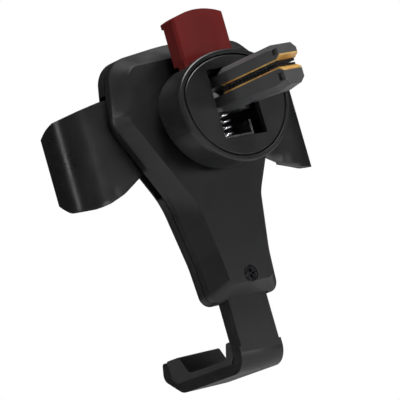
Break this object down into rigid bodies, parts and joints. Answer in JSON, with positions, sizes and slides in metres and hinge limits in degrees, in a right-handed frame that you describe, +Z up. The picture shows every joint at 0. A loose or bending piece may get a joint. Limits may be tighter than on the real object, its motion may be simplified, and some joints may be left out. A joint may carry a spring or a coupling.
{
  "type": "car phone mount",
  "caption": "Gravity phone holder for a car air vent: sprung clip jaws with a red release button, swivelling body, sliding side arms and a drop-down foot.",
  "frame": {"origin": "on the swivel axis at the back face of the clip head, where the jaws come out", "axes": "+Z up, +Y back towards the air vent along the jaws, +X to the right as seen by someone facing the phone"},
  "size_m": [0.0846, 0.0843, 0.1009],
  "materials": {
    "satin_plastic": "fine satin",
    "jaw_plastic": "satin",
    "amber_grip": "translucent soft",
    "red_plastic": "satin gloss",
    "spring_steel": "bright",
    "black_screw": "black oxide",
    "zinc_steel": "zinc plated",
    "washer_plastic": "natural nylon",
    "body_plastic": "fine spark-eroded",
    "soft_pad": "matt silicone",
    "arm_plastic": "satin",
    "foot_plastic": "fine spark-eroded"
  },
  "bodies": {
    "clip_head": {"head_housing": "satin_plastic", "head_face": "satin_plastic", "upper_jaw": "jaw_plastic", "upper_jaw_liner": "amber_grip", "upper_jaw_grip": "soft_pad", "jaw_spring": "spring_steel", "spring_seat": "spring_steel", "head_screws": "black_screw", "jaw_screws": "black_screw", "swivel_bolt": "zinc_steel", "swivel_nut": "zinc_steel"},
    "release": {"release_button": "red_plastic", "lower_jaw": "jaw_plastic", "lower_jaw_liner": "amber_grip", "lower_jaw_grip": "soft_pad"},
    "holder": {"rear_shell": "body_plastic", "front_shell": "body_plastic", "front_pad": "soft_pad", "body_screws": "black_screw", "rear_screw": "black_screw", "friction_washer": "washer_plastic", "return_spring": "spring_steel"},
    "left_wing": {"left_arm": "arm_plastic", "left_arm_pad": "soft_pad", "left_guide_pin": "zinc_steel"},
    "right_wing": {"right_arm": "arm_plastic", "right_arm_pad": "soft_pad", "right_guide_pin": "zinc_steel"},
    "foot_slide": {"foot": "foot_plastic", "foot_pad": "soft_pad", "spring_pin": "zinc_steel"}
  },
  "joints": [
    {"name": "release_press", "type": "slide", "parent": "clip_head", "child": "release", "axis": [0, 0, -1], "range_m": [0, 0.003], "stiffness_N_per_m": 900, "springref_m": -0.004, "deforming": ["jaw_spring"]},
    {"name": "head_swivel", "type": "hinge", "parent": "clip_head", "child": "holder", "pos_m": [0, 0, 0], "axis": [0, 1, 0], "continuous": true},
    {"name": "foot_drop", "type": "slide", "parent": "holder", "child": "foot_slide", "axis": [0, 0, -1], "range_m": [0, 0.01], "stiffness_N_per_m": 60, "springref_m": -0.012, "deforming": ["return_spring"]},
    {"name": "left_arm_close", "type": "slide", "parent": "holder", "child": "left_wing", "axis": [1, 0, 0], "range_m": [0, 0.009]},
    {"name": "right_arm_close", "type": "slide", "parent": "holder", "child": "right_wing", "axis": [-1, 0, 0], "range_m": [0, 0.009]}
  ],
  "couplings": [
    {"joint": "left_arm_close", "follows": "foot_drop", "ratio": 0.9},
    {"joint": "right_arm_close", "follows": "foot_drop", "ratio": 0.9}
  ]
}
